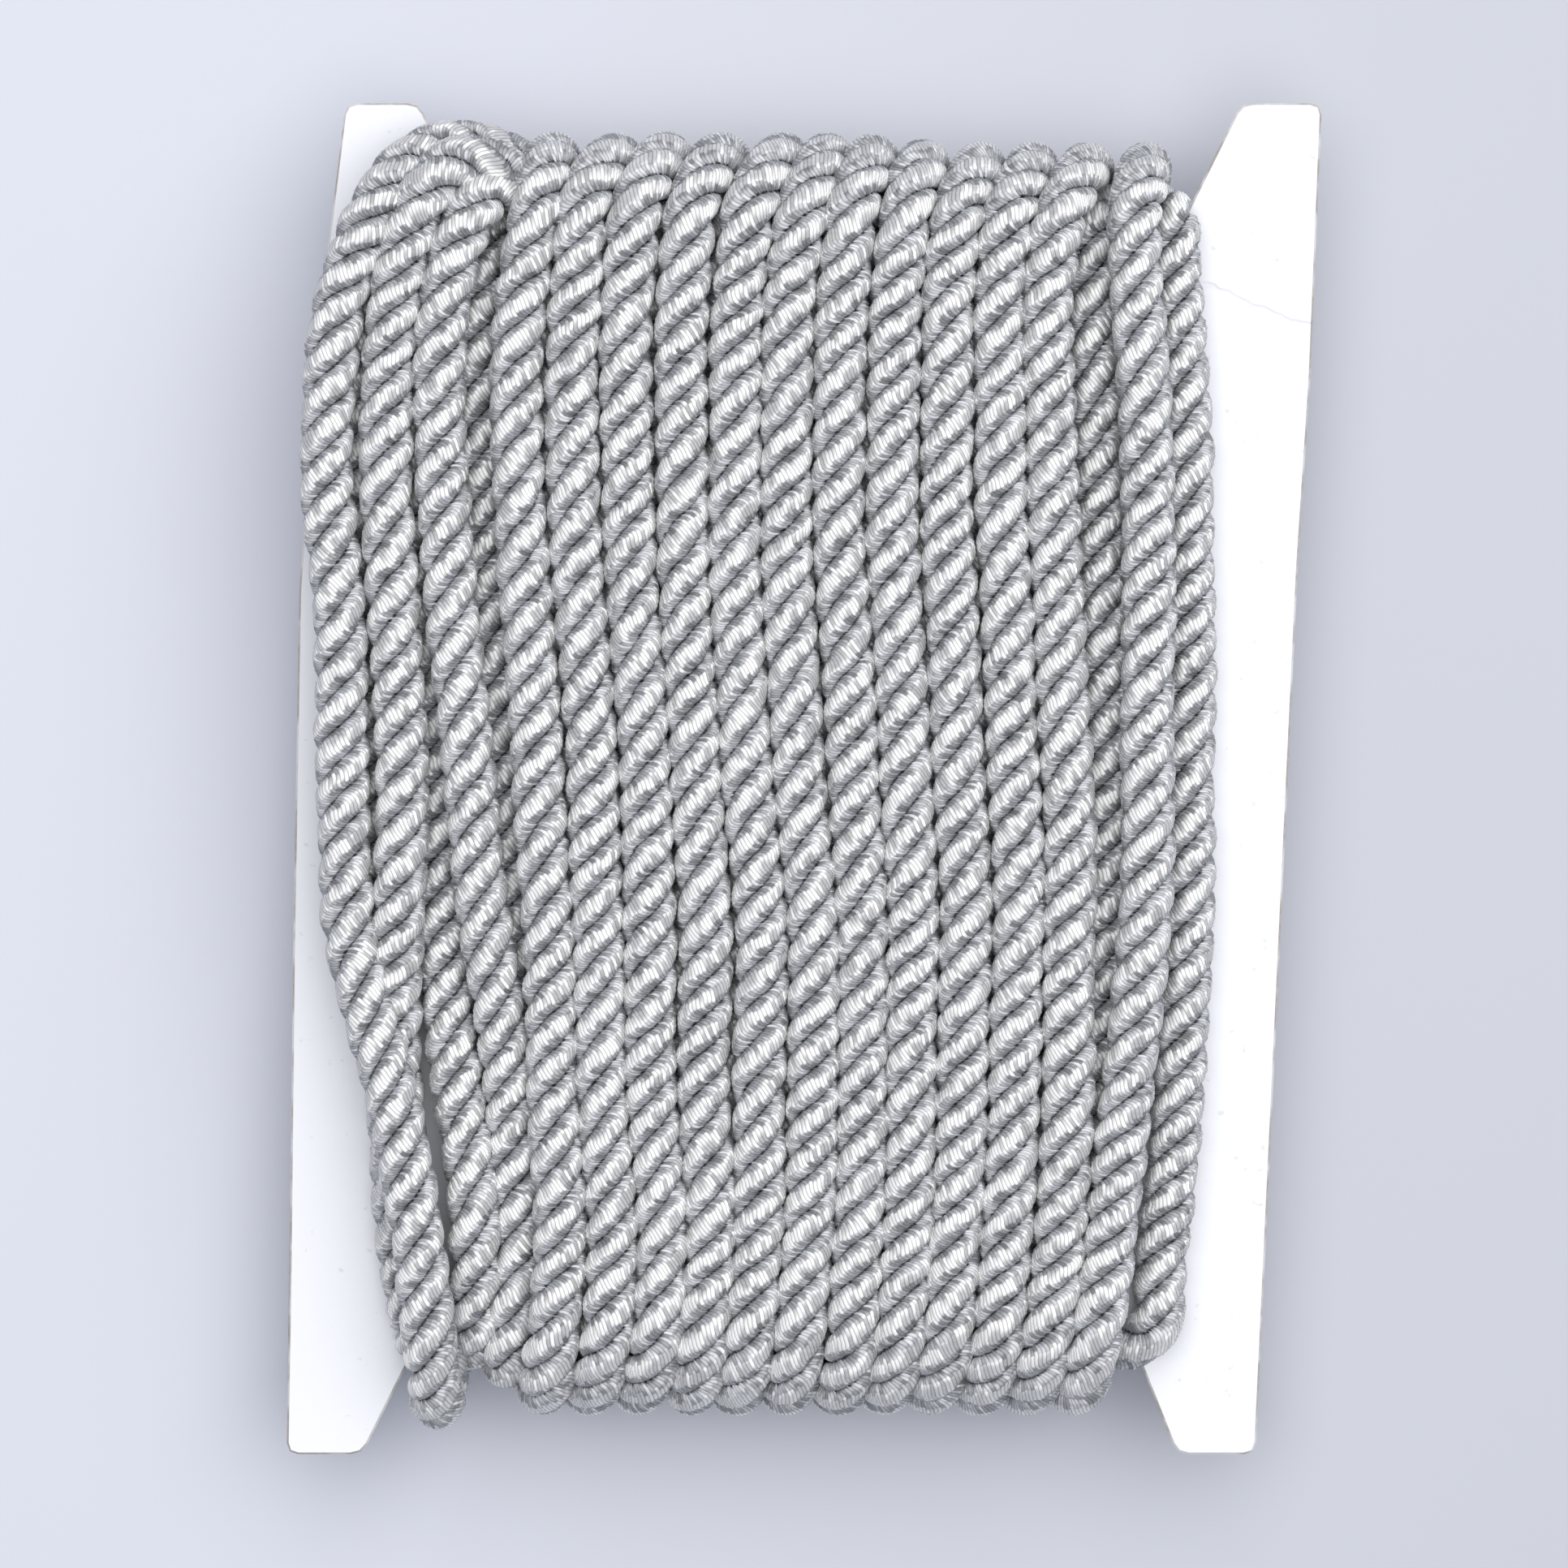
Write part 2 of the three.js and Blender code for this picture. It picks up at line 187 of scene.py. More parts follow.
# A turn is where it crosses the card's top edge, its place at each height, and under the bottom.
FIRST_LAYER_LEFT = [
    (-33.3, [-38.2, -41.2, -42.0, -41.6, -41.1, -40.4, -39.2, -37.8, -36.4], -35.9),
    (-30.0, [-34.0, -35.7, -36.7, -35.6, -34.7, -34.3, -32.4, -30.8, -31.0], -31.7),
    (-26.3, [-29.2, -30.3, -30.7, -29.7, -28.6, -27.4, -26.2, -25.4, -25.4], -26.0),
]
FIRST_LAYER_RIGHT = [
    (29.8, [28.1, 27.2, 27.8, 28.0, 28.6, 28.4, 27.7, 26.3, 25.1], 23.2),
    (33.8, [34.4, 35.2, 36.0, 36.5, 36.3, 36.1, 35.4, 33.7, 32.7], 30.0),
]
SECOND_LAYER = [
    (32.3, [31.1, 31.2, 32.0, 32.1, 32.2, 31.8, 30.1, 28.4, 27.0], 25.5),
    (26.8, [24.4, 22.9, 23.1, 23.7, 24.6, 24.7, 24.7, 23.7, 22.5], 21.1),
    (21.7, [19.4, 18.4, 18.4, 19.0, 19.5, 20.0, 19.6, 18.8, 18.0], 16.6),
    (16.8, [14.6, 13.5, 13.3, 13.8, 14.4, 15.1, 14.6, 14.0, 13.4], 12.0),
    (11.5, [9.7, 8.7, 8.2, 8.5, 9.5, 10.2, 9.8, 9.5, 8.9], 7.5),
    (6.6, [4.5, 3.8, 3.2, 3.5, 4.6, 5.4, 5.4, 5.0, 4.5], 2.9),
    (2.2, [-0.1, -1.2, -1.6, -1.5, -0.5, 0.7, 0.8, 0.3, -0.5], -2.0),
    (-2.0, [-5.1, -6.0, -6.6, -6.3, -5.3, -4.2, -4.3, -4.4, -5.1], -6.6),
    (-7.6, [-10.4, -11.2, -11.7, -11.1, -10.1, -9.3, -9.4, -8.9, -9.5], -10.9),
    (-13.0, [-15.6, -16.4, -16.7, -16.0, -15.0, -14.5, -14.2, -13.5, -13.9], -15.9),
    (-17.8, [-20.8, -21.4, -21.7, -20.9, -20.0, -19.4, -18.9, -18.0, -18.4], -20.5),
    (-23.6, [-25.2, -26.5, -26.9, -25.9, -25.0, -24.0, -23.6, -22.9, -23.4], -24.8),
]
# The two turns under the loose one squeeze in where they can, so theirs are whole points.
THIRD_FROM_LEFT = [
    (-26.6, 55.4, 9.6), (-27.0, 55.9, 12.2), (-28.2, 55.7, 14.6), (-29.9, 54.9, 16.4),
    (-31.3, 52.7, 17.3), (-32.3, 50.7, 17.6), (-33.1, 48.0, 17.7), (-34.1, 31.1, 17.7),
    (-33.1, 15.9, 17.7), (-31.4, 0.7, 17.6), (-29.7, -14.5, 17.0), (-27.8, -29.7, 15.8),
    (-27.1, -44.9, 14.8), (-27.4, -51.5, 14.2), (-27.8, -54.8, 12.6), (-28.2, -55.4, 9.6),
    (-28.6, -53.6, 6.8), (-28.9, -50.0, 5.5), (-29.6, -25.0, 5.5), (-30.4, 0.0, 5.5),
    (-31.0, 25.0, 5.5), (-30.9, 45.0, 5.7), (-30.2, 53.6, 7.6),
]
SECOND_FROM_LEFT = [
    (-27.9, 55.9, 12.6), (-28.3, 57.0, 14.8), (-29.7, 57.8, 16.4), (-31.9, 57.9, 17.2),
    (-34.2, 56.7, 17.6), (-35.7, 54.5, 17.8), (-37.0, 51.1, 17.8), (-37.9, 47.6, 17.7),
    (-39.0, 31.1, 17.7), (-38.6, 15.9, 17.7), (-37.8, 0.7, 17.6), (-38.1, -14.5, 17.0),
    (-38.5, -22.0, 15.8), (-38.4, -29.7, 14.8), (-37.8, -37.7, 14.4), (-36.4, -44.9, 14.3),
    (-35.0, -51.0, 14.1), (-34.3, -54.4, 12.2), (-34.1, -55.2, 9.4), (-34.1, -53.6, 5.6),
    (-33.9, -48.0, 3.0), (-33.2, -25.0, 2.6), (-32.0, 0.0, 2.6), (-30.2, 25.0, 2.6),
]
LOOSE_TURN = [
    (-27.8, 42.0, 3.4), (-26.3, 50.0, 4.6), (-25.4, 54.6, 7.2), (-25.8, 56.8, 9.4),
    (-27.3, 58.3, 11.2), (-29.2, 59.3, 12.2), (-31.8, 59.8, 13.0), (-34.6, 59.4, 14.2),
    (-37.2, 58.0, 15.6), (-39.3, 55.4, 16.9), (-41.2, 51.6, 17.6), (-42.9, 47.0, 17.7),
    (-44.7, 31.1, 17.7), (-43.6, 15.9, 17.7), (-43.2, 0.7, 17.7), (-42.6, -14.5, 17.7),
    (-38.7, -29.7, 18.7), (-35.7, -44.9, 18.8), (-35.1, -52.5, 17.9), (-34.8, -57.6, 14.6),
    (-34.8, -59.2, 10.2), (-34.7, -57.0, 5.6), (-34.5, -51.0, 3.0), (-35.2, -30.0, 2.6),
    (-36.2, 0.0, 2.6), (-35.4, 24.0, 2.9), (-34.0, 40.0, 4.6),
]
# How a plain turn bends: how level it may lie where a bend starts, its share of the way sideways
# half way round the top and the bottom bend, and of the way to the next turn on the back.
STEEPEST_SINE = 0.94
TOP_SHARE, BOTTOM_SHARE = 0.42, 0.5
BACK_BEND_SHARE = 0.03
BACK = [(0.1, WAIST_BOTTOM), (0.3, -25.0), (0.5, 0.0), (0.7, 25.0), (0.9, WAIST_TOP)]


def turn_points(turn, reach, next_over, next_reach):
    """Points of one plain turn, from over the top edge round to just short of the next."""
    over, places, under = turn
    points = [(over, WAIST_TOP + reach, CARD_LEVEL)]

    def bend(x, edge, angle, bend_reach):
        y = edge + bend_reach * math.sin(angle)
        points.append((x, y, CARD_LEVEL + bend_reach * math.cos(angle)))

    first_angle = math.asin(min(STEEPEST_SINE, (HEIGHTS[0] - WAIST_TOP) / reach))
    last_angle = math.asin(max(-STEEPEST_SINE, (HEIGHTS[-1] - WAIST_BOTTOM) / reach))
    top_x = over + TOP_SHARE * (places[0] - over)
    bottom_x = places[-1] + BOTTOM_SHARE * (under - places[-1])
    bend(top_x, WAIST_TOP, (math.pi / 2 + first_angle) / 2, reach)
    bend(places[0], WAIST_TOP, first_angle, reach)
    for x, y in list(zip(places, HEIGHTS))[1:-1]:
        points.append((x, y, CARD_LEVEL + reach))
    bend(places[-1], WAIST_BOTTOM, last_angle, reach)
    bend(bottom_x, WAIST_BOTTOM, (last_angle - math.pi / 2) / 2, reach)
    bend(under, WAIST_BOTTOM, -math.pi / 2, reach)
    drift = next_over - under
    bend(under + BACK_BEND_SHARE * drift, WAIST_BOTTOM, -0.75 * math.pi, reach)
    for share, y in BACK:
        points.append((under + share * drift, y, CARD_LEVEL - reach))
    last_x = under + (1 - BACK_BEND_SHARE) * drift
    bend(last_x, WAIST_TOP, -1.25 * math.pi, (reach + next_reach) / 2)
    return points


def midway(a, b):
    """A hidden turn of the first layer, which lies in the valley between two of the second."""
    places = [(p + q) / 2 for p, q in zip(a[1], b[1])]
    return (a[0] + b[0]) / 2, places, (a[2] + b[2]) / 2


hidden = [midway(a, b) for a, b in zip(SECOND_LAYER[1:], SECOND_LAYER[2:])]
first_layer = FIRST_LAYER_LEFT + hidden[::-1] + FIRST_LAYER_RIGHT
first_points = []
for turn, after in zip(first_layer, first_layer[1:]):
    first_points += turn_points(turn, FIRST_REACH, after[0], FIRST_REACH)
first_points += turn_points(first_layer[-1], FIRST_REACH, SECOND_LAYER[0][0], SECOND_REACH)

# Low down at the left, the first layer's second turn rides up between its neighbours.
RIDE_UP = 2.4
RIDE_LEFT, RIDE_RIGHT, RIDE_BOTTOM, RIDE_TOP = -34.0, -30.0, -46.0, -20.0
for i, (x, y, z) in enumerate(first_points):
    if RIDE_LEFT < x < RIDE_RIGHT and RIDE_BOTTOM < y < RIDE_TOP and z > CARD_LEVEL:
        first_points[i] = (x, y, z + RIDE_UP)

SQUEEZED_REACH = 4.6  # as far as the third turn from the left starts from the card's middle
second_points = []
for turn, after in zip(SECOND_LAYER, SECOND_LAYER[1:]):
    second_points += turn_points(turn, SECOND_REACH, after[0], SECOND_REACH)
second_points += turn_points(
    SECOND_LAYER[-1], SECOND_REACH, THIRD_FROM_LEFT[0][0], SQUEEZED_REACH
)
second_points += THIRD_FROM_LEFT + SECOND_FROM_LEFT
all_points = first_points + second_points + LOOSE_TURN


def smooth_line(points, spacing):
    """One smooth line through the points, as points a spacing apart, with how far along each is."""
    points = np.array(points, float)
    chord = np.r_[0, np.cumsum(np.linalg.norm(np.diff(points, axis=0), axis=1))]
    slope = np.gradient(points, chord, axis=0)
    fine = np.linspace(0, chord[-1], int(chord[-1] / (spacing / 2)))
    leg = np.clip(np.searchsorted(chord, fine, side="right") - 1, 0, len(chord) - 2)
    step = (chord[leg + 1] - chord[leg])[:, None]
    t = (fine - chord[leg])[:, None] / step
    line = (
        (1 + 2 * t) * (1 - t) ** 2 * points[leg]
        + t * (1 - t) ** 2 * step * slope[leg]
        + t ** 2 * (3 - 2 * t) * points[leg + 1]
        + t ** 2 * (t - 1) * step * slope[leg + 1]
    )
    travel = np.r_[0, np.cumsum(np.linalg.norm(np.diff(line, axis=0), axis=1))]
    even = np.linspace(0, travel[-1], int(travel[-1] / spacing))
    return np.stack([np.interp(even, travel, line[:, i]) for i in range(3)], axis=1), even


def ripple(distance, size, wavelengths, seed):
    """A slow wander of about a size either way, as a hand lays cord."""
    phases = np.random.default_rng(seed).uniform(0, 2 * math.pi, len(wavelengths))
    waves = [np.sin(2 * math.pi * distance / w + p) for w, p in zip(wavelengths, phases)]
    return size * sum(waves) / math.sqrt(len(wavelengths))


LINE_SPACING = 0.25
SIDE_WANDER, HEIGHT_WANDER = 0.12, 0.08
TWIST_WANDER, GROOVE_WANDER = 0.35, 0.07  # in radians
CORD_SWELL, PLY_SWELL = 0.012, 0.035  # shares of the radius
BULGE = 0.17  # how far the fullest ply reaches past the radius, where the cord lies on the table
SETTLE = 0.9  # how much lower the turns at the right sit over the card's top edge
SETTLE_FROM, SETTLE_FULL = 5, 15  # from here to here, to the right
SETTLE_RISE = 6  # and over this height above the edge

line, travel = smooth_line(all_points, LINE_SPACING)
line[:, 0] += ripple(travel, SIDE_WANDER, (23.0, 41.0, 67.0), 3)
line[:, 2] += ripple(travel, HEIGHT_WANDER, (31.0, 53.0), 5)
line[:, 2] = np.maximum(line[:, 2], CORD_RADIUS + BULGE)
rightward = np.clip((line[:, 0] - SETTLE_FROM) / (SETTLE_FULL - SETTLE_FROM), 0, 1)
line[:, 1] -= SETTLE * (rightward * np.clip((line[:, 1] - WAIST_TOP) / SETTLE_RISE, 0, 1))
marks = [0.0]
for count in (len(first_points), len(first_points) + len(second_points)):
    joint = np.array(all_points[count])
    marks.append(float(travel[np.argmin(np.linalg.norm(line - joint, axis=1))]))
marks.append(float(travel[-1]))
twist = 2 * math.pi * travel / LAY + ripple(travel, TWIST_WANDER, (29.0, 47.0, 83.0), 11)
swell = 1 + ripple(travel, CORD_SWELL, (7.0, 13.0, 19.0), 13)
uneven_plies = [1 + ripple(travel, PLY_SWELL, (4.1, 7.3, 12.7), seed) for seed in (17, 18, 19)]
uneven_edges = [ripple(travel, GROOVE_WANDER, (3.3, 5.9, 9.1), seed) for seed in (23, 24, 25)]

PLIES = 3
PLY_ANGLE = 2 * math.pi / PLIES
GROOVE_DEPTH = 0.31  # of the cord's radius
GROOVE_POWER = 3  # the higher, the flatter the plies' tops and the narrower the grooves
SLOPE_RADIUS = 0.95 * CORD_RADIUS  # about where the plies' surface lies, between crest and groove
PLY_SLOPE = math.atan(2 * math.pi * SLOPE_RADIUS / LAY)
PLY_WIDTH = PLY_ANGLE * CORD_RADIUS * math.cos(PLY_SLOPE)


def ply_profile(off_crest):
    """How far the section reaches at an angle off a ply's crest: flat tops, narrow grooves."""
    share = np.abs(off_crest) / (math.pi / PLIES)
    return CORD_RADIUS * (1 - GROOVE_DEPTH * share ** GROOVE_POWER)


def twisted_cord(name, start, end, spacing, ply_sides):
    """A length of the cord as a mesh: a grid bent round the line, its seam welded, its ends closed."""
    along = np.linspace(start, end, int((end - start) / spacing) + 1)
    centre = np.stack([np.interp(along, travel, line[:, i]) for i in range(3)], axis=1)
    tangent = np.gradient(centre, along, axis=0)
    tangent /= np.linalg.norm(tangent, axis=1)[:, None]
    out = centre - np.array([0, 0, CARD_LEVEL])
    out[:, 0] = 0
    out[:, 1] -= np.clip(out[:, 1], WAIST_BOTTOM, WAIST_TOP)
    out -= np.sum(out * tangent, axis=1)[:, None] * tangent
    out /= np.linalg.norm(out, axis=1)[:, None]
    across = np.cross(out, tangent)
    rings, columns = len(along), PLIES * ply_sides + 1
    column = np.arange(columns)
    off_crest = PLY_ANGLE * (np.mod(column, ply_sides) / ply_sides - 0.5)
    turn = column * 2 * math.pi / (columns - 1) + np.interp(along, travel, twist)[:, None]
    ply, ply_share = column // ply_sides % PLIES, np.mod(column, ply_sides) / ply_sides
    edges = np.stack([np.interp(along, travel, edge) for edge in uneven_edges], axis=1)
    turn = turn + edges[:, ply] * (1 - ply_share) + edges[:, (ply + 1) % PLIES] * ply_share
    plump = np.stack([np.interp(along, travel, size) for size in uneven_plies], axis=1)[:, ply]
    plump = 1 + (plump - 1) * np.sin(math.pi * ply_share)
    reach = ply_profile(off_crest) * plump * np.interp(along, travel, swell)[:, None]
    points = (
        centre[:, None, :]
        + (reach * np.cos(turn))[:, :, None] * across[:, None, :]
        + (reach * np.sin(turn))[:, :, None] * out[:, None, :]
    )
    bm = bmesh.new()
    wrap = bm.loops.layers.uv.new("wrap")
    bmesh.ops.create_grid(bm, x_segments=columns - 1, y_segments=rings - 1, size=1.0)
    bm.verts.ensure_lookup_table()
    for vert, place in zip(bm.verts, points.reshape(-1, 3) * MM):
        vert.co = place
    # The wrap map gives how far along its ply a point is, in mm, and how far round it.
    edge_off = PLY_ANGLE * (np.arange(ply_sides + 1) / ply_sides - 0.5)
    sideways = ply_profile(edge_off) * np.sin(edge_off) * math.sin(PLY_SLOPE)
    ply_travel = along / math.cos(PLY_SLOPE)
    for face in bm.faces:
        face.smooth = True
        corners = [loop.vert.index for loop in face.loops]
        ply = min(corner % columns for corner in corners) // ply_sides
        for loop, corner in zip(face.loops, corners):
            step = corner % columns - ply * ply_sides
            u = ply_travel[corner // columns] + sideways[step]
            loop[wrap].uv = (u, ply + step / ply_sides)
    # The plies meet in a crease.
    for edge in bm.edges:
        a, b = edge.verts[0].index, edge.verts[1].index
        if a % columns == b % columns and a % columns % ply_sides == 0:
            edge.smooth = False
    seam = {bm.verts[r * columns + columns - 1]: bm.verts[r * columns] for r in range(rings)}
    bmesh.ops.weld_verts(bm, targetmap=seam)
    ends = [edge for edge in bm.edges if edge.is_boundary]
    for edge in ends:
        edge.smooth = False
    bmesh.ops.holes_fill(bm, edges=ends, sides=0)
    bmesh.ops.recalc_face_normals(bm, faces=bm.faces)
    mesh = bpy.data.meshes.new(name)
    bm.to_mesh(mesh)
    bm.free()
    piece = bpy.data.objects.new(name, mesh)
    bpy.context.scene.collection.objects.link(piece)
    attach(piece, "root")
    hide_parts("wound_cord")
    return piece


# Satin gimp in silver-grey viscose: flat bright filaments wrapped side by side round each ply, at a
# slant. The filaments would catch the light where they lie level, so each ply has a painted highlight:
# a white band on its crest, with painted shade greyer down its sides and nearly black in the grooves.
SATIN_CREST_HIGHLIGHT = "FFFFFF"
SATIN_SIDE_SHADE = "E3E5E9"
SATIN_GROOVE_SHADE = "34363A"
THREAD_PITCH = 0.37  # really 0.27 mm, drawn coarser so that it shows
THREAD_SLANT = 0.1  # of its way across the ply, a thread runs this much along it
THREAD_ROUND = 0.85  # how steeply a thread falls away to its sides
THREAD_LEAN = 0.8  # how far single threads lie askew round the ply
THREADS_A_PLY = 40000.0  # more than there are, so that no two plies share a thread's number
BETWEEN_SHADE_FROM, BETWEEN_SHADE_TONE = 0.26, 0.55  # off a thread's middle, where the painted shade between threads starts, and its tone
DULLEST_THREAD = 0.58  # the tone of the dullest one, at random, where the plies' sides have painted shade
# Off the crest, in shares of a ply's width: where the painted grey shade on the sides and the painted
# dark shade in the groove start and are full, and how much nearer single threads bring them.
SIDE_SHADE_FROM, SIDE_SHADE_FULL, SIDE_SHADE_RAGGED = 0.27, 0.34, 0.17
GROOVE_SHADE_FROM, GROOVE_SHADE_FULL, GROOVE_SHADE_RAGGED = 0.475, 0.53, 0.05
# Slow changes along the plies: the grain of each in mm, how far the pattern is moved on from one
# ply or groove to the next, the noise levels where it starts and ends, and its lowest share.
GROOVE_SHADE_GRAIN, GROOVE_SHADE_SHIFT = 0.32, 155.0
GROOVE_SHADE_WEAK_AT, GROOVE_SHADE_STRONG_AT, GROOVE_SHADE_LEAST = 0.4, 0.55, 0.25
DULL_GRAIN, DULL_SHIFT = 1.8, 385.0
DULL_FROM, DULL_TO, DULL_TONE = 0.35, 0.62, 0.88

satin, tree, output = new_material("satin_gimp_viscose")
wrap = node(tree, "UVMap", uv_map="wrap")
split = node(tree, "SeparateXYZ", (wrap,))
along_ply, round_cord = split.outputs["X"], split.outputs["Y"]
ply_number = node(tree, "Math", (round_cord,), operation="FLOOR")
round_ply = node(tree, "Math", (round_cord,), operation="FRACT")
off_crest = node(tree, "Math", (round_ply, 0.5), operation="SUBTRACT")
slant = (off_crest, THREAD_SLANT * PLY_WIDTH, along_ply)
slanted = node(tree, "Math", slant, operation="MULTIPLY_ADD")
threads = node(tree, "Math", (slanted, THREAD_PITCH), operation="DIVIDE")
across_thread = node(tree, "Math", (threads,), operation="FRACT")
off_thread = node(tree, "Math", (across_thread, 0.5), operation="SUBTRACT")
on_its_ply = node(tree, "Math", (threads,), operation="FLOOR")
numbering = (ply_number, THREADS_A_PLY, on_its_ply)
thread_number = node(tree, "Math", numbering, operation="MULTIPLY_ADD")
chance = node(tree, "TexWhiteNoise", {"W": thread_number}, noise_dimensions="1D")
chances = node(tree, "SeparateXYZ", (chance.outputs["Color"],))
askew_chance, dull_chance, ragged_chance = chances.outputs

# Each thread is a low ridge of its own across the ply, and lies a little askew.
normal = node(tree, "NewGeometry").outputs["Normal"]
ply_direction = node(tree, "Tangent", direction_type="UV_MAP", uv_map="wrap")
thread_direction = node(tree, "VectorMath", (normal, ply_direction), operation="CROSS_PRODUCT")
ridge = node(tree, "Math", (off_thread, THREAD_ROUND), operation="MULTIPLY")
askew = node(tree, "Math", (askew_chance, 0.5), operation="SUBTRACT")
lean = node(tree, "Math", (askew, THREAD_LEAN), operation="MULTIPLY")
ridge_tilt = node(tree, "VectorMath", {0: ply_direction, "Scale": ridge}, operation="SCALE")
lean_tilt = node(tree, "VectorMath", {0: thread_direction, "Scale": lean}, operation="SCALE")
tilt = node(tree, "VectorMath", (ridge_tilt, lean_tilt), operation="ADD")
tilted = node(tree, "VectorMath", (normal, tilt), operation="ADD")
thread_normal = node(tree, "VectorMath", (tilted,), operation="NORMALIZE")

# Painted highlight, white on the crest, and from a ragged edge on, painted shade a little greyer down
# the sides.
crest_distance = node(tree, "Math", (off_crest,), operation="ABSOLUTE")
side_shade_edge = (ragged_chance, SIDE_SHADE_RAGGED, crest_distance)
ragged_side_shade = node(tree, "Math", side_shade_edge, operation="MULTIPLY_ADD")
side_shade_share = node(tree, "MapRange", (ragged_side_shade, SIDE_SHADE_FROM, SIDE_SHADE_FULL), **SMOOTH)
highlight_and_side_shade = node(tree, "Mix", {0: side_shade_share, 6: linear(SATIN_CREST_HIGHLIGHT), 7: linear(SATIN_SIDE_SHADE)}, **COLOURS)

# Painted shade, nearly black, in the groove between two plies, weaker in some stretches along it.
groove_shade_edge = (ragged_chance, GROOVE_SHADE_RAGGED, crest_distance)
ragged_groove_shade = node(tree, "Math", groove_shade_edge, operation="MULTIPLY_ADD")
in_groove_shade = node(tree, "MapRange", (ragged_groove_shade, GROOVE_SHADE_FROM, GROOVE_SHADE_FULL), **SMOOTH)
next_crest = node(tree, "Math", (round_cord, 0.5), operation="ADD")
groove_number = node(tree, "Math", (next_crest,), operation="FLOOR")
along_groove = node(tree, "Math", (along_ply, GROOVE_SHADE_GRAIN), operation="DIVIDE")
groove_shade_row = (groove_number, GROOVE_SHADE_SHIFT, along_groove)
groove_shade_place = node(tree, "Math", groove_shade_row, operation="MULTIPLY_ADD")
groove_shade_noise_inputs = {"W": groove_shade_place, "Scale": 1.0, "Detail": 1.0}
groove_shade_noise = node(tree, "TexNoise", groove_shade_noise_inputs, noise_dimensions="1D")
groove_shade_breaks = node(tree, "MapRange", (groove_shade_noise, GROOVE_SHADE_WEAK_AT, GROOVE_SHADE_STRONG_AT, GROOVE_SHADE_LEAST, 1.0), **SMOOTH)
groove_shade_share = node(tree, "Math", (in_groove_shade, groove_shade_breaks), operation="MULTIPLY")
groove_shaded_by = {0: groove_shade_share, 6: highlight_and_side_shade.outputs[2], 7: linear(SATIN_GROOVE_SHADE)}
groove_shaded = node(tree, "Mix", groove_shaded_by, **COLOURS)

# Painted shade as a fine dark line between threads, single threads duller at random within the painted
# side shade, and duller stretches at random.
thread_distance = node(tree, "Math", (off_thread,), operation="ABSOLUTE")
thread_side_shade = (thread_distance, BETWEEN_SHADE_FROM, 0.5, 1.0, BETWEEN_SHADE_TONE)
between_threads_shade = node(tree, "MapRange", thread_side_shade, **SMOOTH)
dullness_in_side_shade = node(tree, "Math", (dull_chance, side_shade_share), operation="MULTIPLY")
thread_tone = node(tree, "MapRange", (dullness_in_side_shade, 0.0, 1.0, 1.0, DULLEST_THREAD), **SMOOTH)
along_stretch = node(tree, "Math", (along_ply, DULL_GRAIN), operation="DIVIDE")
stretch_row = (ply_number, DULL_SHIFT, along_stretch)
stretch_place = node(tree, "Math", stretch_row, operation="MULTIPLY_ADD")
stretch_noise = {"W": stretch_place, "Scale": 1.0, "Detail": 1.0}
stretches = node(tree, "TexNoise", stretch_noise, noise_dimensions="1D")
stretch_tone = node(tree, "MapRange", (stretches, DULL_FROM, DULL_TO, DULL_TONE, 1.0), **SMOOTH)
tone = node(tree, "Math", (between_threads_shade, thread_tone), operation="MULTIPLY")
tone = node(tree, "Math", (tone, stretch_tone), operation="MULTIPLY")
toned_by = {0: 1.0, 6: groove_shaded.outputs[2], 7: tone}
satin_finish = {
    "Base Color": node(tree, "Mix", toned_by, blend_type="MULTIPLY", **COLOURS).outputs[2],
    "Metallic": 0.57,
    "Roughness": 0.5,
    "Anisotropic": 1.0,
    "Normal": thread_normal,
    "Tangent": ply_direction,
}
satin_shader = node(tree, "BsdfPrincipled", satin_finish)
tree.links.new(satin_shader.outputs[0], output.inputs[0])

NEAR_MIDDLE = 5  # the pieces of a stretch meet this near the middle of the back


def lay_cord(name, start, end, pieces, spacing, ply_sides):
    """Lays one stretch of the cord as a few pieces, which meet on the back, all of the satin."""
    on_back = (line[:, 2] < CARD_LEVEL) & (np.abs(line[:, 1]) < NEAR_MIDDLE)
    cuts = [start]
    for cut in np.linspace(start, end, pieces + 1)[1:-1]:
        cuts.append(travel[on_back][np.argmin(np.abs(travel[on_back] - cut))])
    cuts.append(end)
    for i in range(pieces):
        label = f"{name}_{i + 1}" if pieces > 1 else name
        piece = twisted_cord(label, cuts[i], cuts[i + 1], spacing, ply_sides)
        piece.data.materials.append(satin)


# The first layer: the cord goes from left to right in turns that lie flat on the card.
# Most of it shows only as a dark line between the turns on top of it.
lay_cord("first_layer", marks[0], marks[1], pieces=2, spacing=0.75, ply_sides=8)

# The second layer: the cord comes back from right to left, each turn in a valley of the first.
# The last two turns at the left squeeze under the loose one.
lay_cord("second_layer", marks[1], marks[2], pieces=3, spacing=0.55, ply_sides=10)

# The loose turn: it swings out over the top left corner and lies on the others at the left,
# and its end is tucked under the turns on the back.
lay_cord("loose_turn", marks[2], marks[3], pieces=1, spacing=0.5, ply_sides=12)


# The table top that the trim lies on, which is not part of it: smooth pale laminate.
# It has painted shade, a little greyer to the right, as in a corner of the room.
TABLE_REACH = 1.5  # from its middle to its edges, in metres
TABLE_LEFT = "CFD2DC"
TABLE_RIGHT_SHADED = "BDC0C8"
TABLE_SHADE_FADE = 0.09  # from this far left of the middle to as far right of it

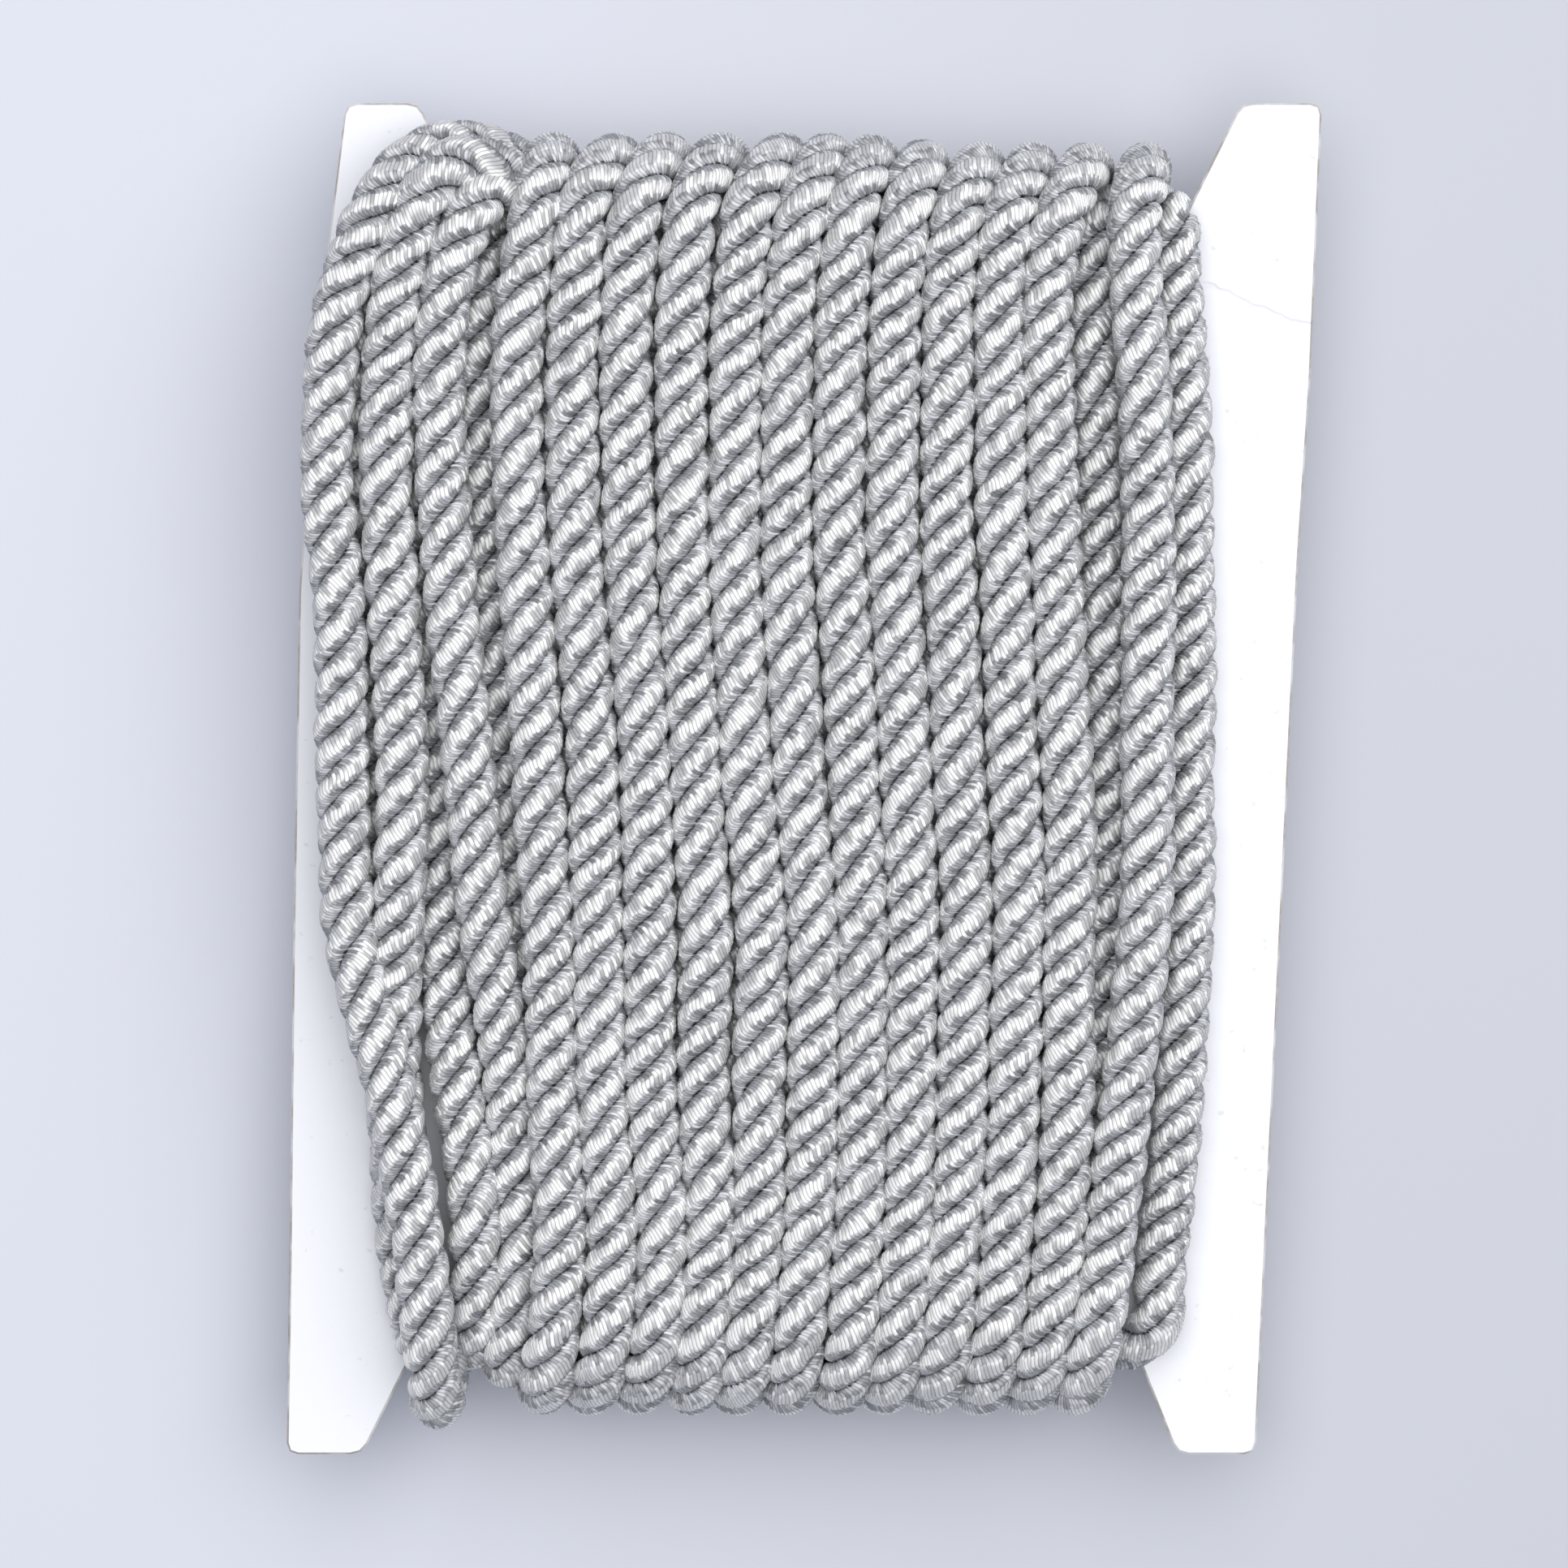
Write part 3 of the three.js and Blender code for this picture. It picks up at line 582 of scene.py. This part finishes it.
table_mesh = bpy.data.meshes.new("table_top")
bm = bmesh.new()
bmesh.ops.create_grid(bm, x_segments=1, y_segments=1, size=TABLE_REACH)
bm.to_mesh(table_mesh)
bm.free()
table = bpy.data.objects.new("table_top", table_mesh)
bpy.context.scene.collection.objects.link(table)
laminate, tree, output = new_material("pale_laminate")
place = node(tree, "TexCoord").outputs["Object"]
across = node(tree, "SeparateXYZ", (place,)).outputs["X"]
painted_shade_share = node(tree, "MapRange", (across, -TABLE_SHADE_FADE, TABLE_SHADE_FADE), **SMOOTH)
shade_faded = node(tree, "Mix", {0: painted_shade_share, 6: linear(TABLE_LEFT), 7: linear(TABLE_RIGHT_SHADED)}, **COLOURS)
laminate_finish = {"Base Color": shade_faded.outputs[2], "Roughness": 0.7}
laminate_shader = node(tree, "BsdfPrincipled", laminate_finish)
tree.links.new(laminate_shader.outputs[0], output.inputs[0])
table_mesh.materials.append(laminate)


# The light: one large soft box above the trim, a little to the right and to the back of it,
# turned to face it, in a pale room.
SOFT_BOX_PLACE = Vector((0.1, 0.14, 0.62))
SOFT_BOX_SIZE = 1.1
SOFT_BOX_POWER = 7.5
ROOM_STRENGTH = 0.42

light = bpy.data.lights.new("soft_box_above", "AREA")
light.shape = "SQUARE"
light.size = SOFT_BOX_SIZE
light.energy = SOFT_BOX_POWER
light.color = linear("FFFEFC")[:3]
lamp = bpy.data.objects.new("soft_box_above", light)
lamp.location = SOFT_BOX_PLACE
lamp.rotation_mode = "QUATERNION"
lamp.rotation_quaternion = (-SOFT_BOX_PLACE).to_track_quat("-Z", "Y")
bpy.context.scene.collection.objects.link(lamp)

world = bpy.data.worlds.new("pale_room")
world.use_nodes = True
sky = world.node_tree.nodes["Background"]
sky.inputs["Color"].default_value = linear("E4E8F4")
sky.inputs["Strength"].default_value = ROOM_STRENGTH
bpy.context.scene.world = world
bpy.context.scene.view_settings.view_transform = "Standard"

# The camera looks straight down from 0.49 m, a little left of the card's middle.
camera_data = bpy.data.cameras.new("camera")
camera_data.sensor_width = 36.0
camera_data.lens = 115.8
camera = bpy.data.objects.new("camera", camera_data)
camera.location = (-1.93 * MM, -0.5 * MM, 490 * MM)
bpy.context.scene.collection.objects.link(camera)
bpy.context.scene.camera = camera
